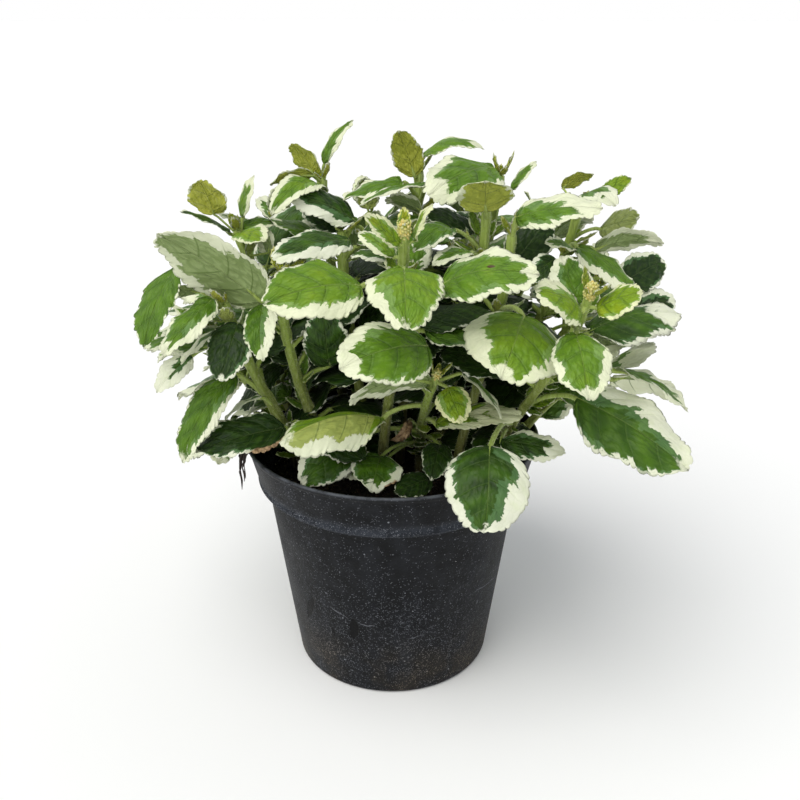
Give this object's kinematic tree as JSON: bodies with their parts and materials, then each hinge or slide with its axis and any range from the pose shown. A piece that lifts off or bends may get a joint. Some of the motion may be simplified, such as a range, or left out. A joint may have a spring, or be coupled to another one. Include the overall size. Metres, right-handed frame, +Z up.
{
  "type": "potted plectranthus",
  "caption": "Bushy foliage plant with scalloped green leaves edged in cream, on leafy stems that stand in soil in a plain black nursery pot.",
  "frame": {"origin": "middle of the pot's flat underside, on the surface that the pot stands on", "axes": "+Z up, -Y towards the side that the picture shows, +X to the right in the picture"},
  "size_m": [0.2614, 0.248, 0.28],
  "materials": {
    "pot": "satin",
    "soil": "matte",
    "leaf": "satin"
  },
  "bodies": {
    "root": {"pot": "pot", "soil": "soil", "stem_front": "leaf", "stem_right": "leaf", "stem_inner": "leaf", "stem_fan": "leaf", "stem_outer_right": "leaf", "stem_top": "leaf", "stem_top_right": "leaf", "stem_top_left": "leaf", "stem_left_inner": "leaf", "stem_left_high": "leaf", "stem_left_big": "leaf", "stem_left_low": "leaf", "stem_low_front": "leaf", "stem_back_top_left": "leaf", "stem_back_top_right": "leaf", "stem_back_high_left": "leaf", "stem_back_left": "leaf", "stem_back_low_left": "leaf", "stem_back_middle": "leaf", "stem_back_low_middle": "leaf", "stem_back_high_right": "leaf", "stem_back_right": "leaf", "stem_side_right": "leaf", "stem_side_left": "leaf", "stem_foot_left": "leaf", "stem_foot_right": "leaf", "stem_foot_outer": "leaf"}
  },
  "joints": []
}
